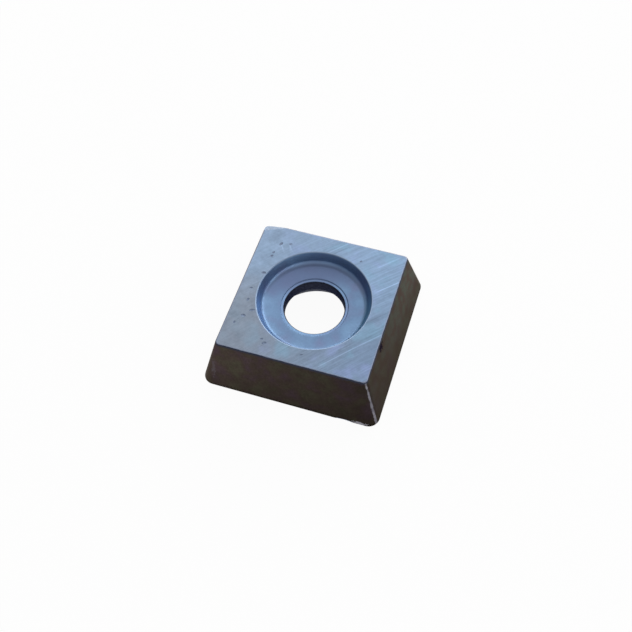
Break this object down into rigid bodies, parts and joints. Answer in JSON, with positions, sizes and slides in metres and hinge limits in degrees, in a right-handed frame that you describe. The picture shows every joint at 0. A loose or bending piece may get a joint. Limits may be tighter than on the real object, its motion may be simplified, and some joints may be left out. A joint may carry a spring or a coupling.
{
  "type": "carbide insert",
  "caption": "Square positive cutting insert with sloping flanks, rounded corners, a dished recess round its screw hole and a countersink in the cutting face.",
  "frame": {"origin": "middle of the cutting face, the large flat face that the insert lies on", "axes": "+Z out of the ground seat face, which is the small face with the recess; X along the front flank's edges"},
  "size_m": [0.0126, 0.0126, 0.004],
  "materials": {
    "coated_carbide": "thin blue grey coating over sintered carbide, ground on the seat face"
  },
  "bodies": {
    "root": {"insert": "coated_carbide"}
  },
  "joints": []
}
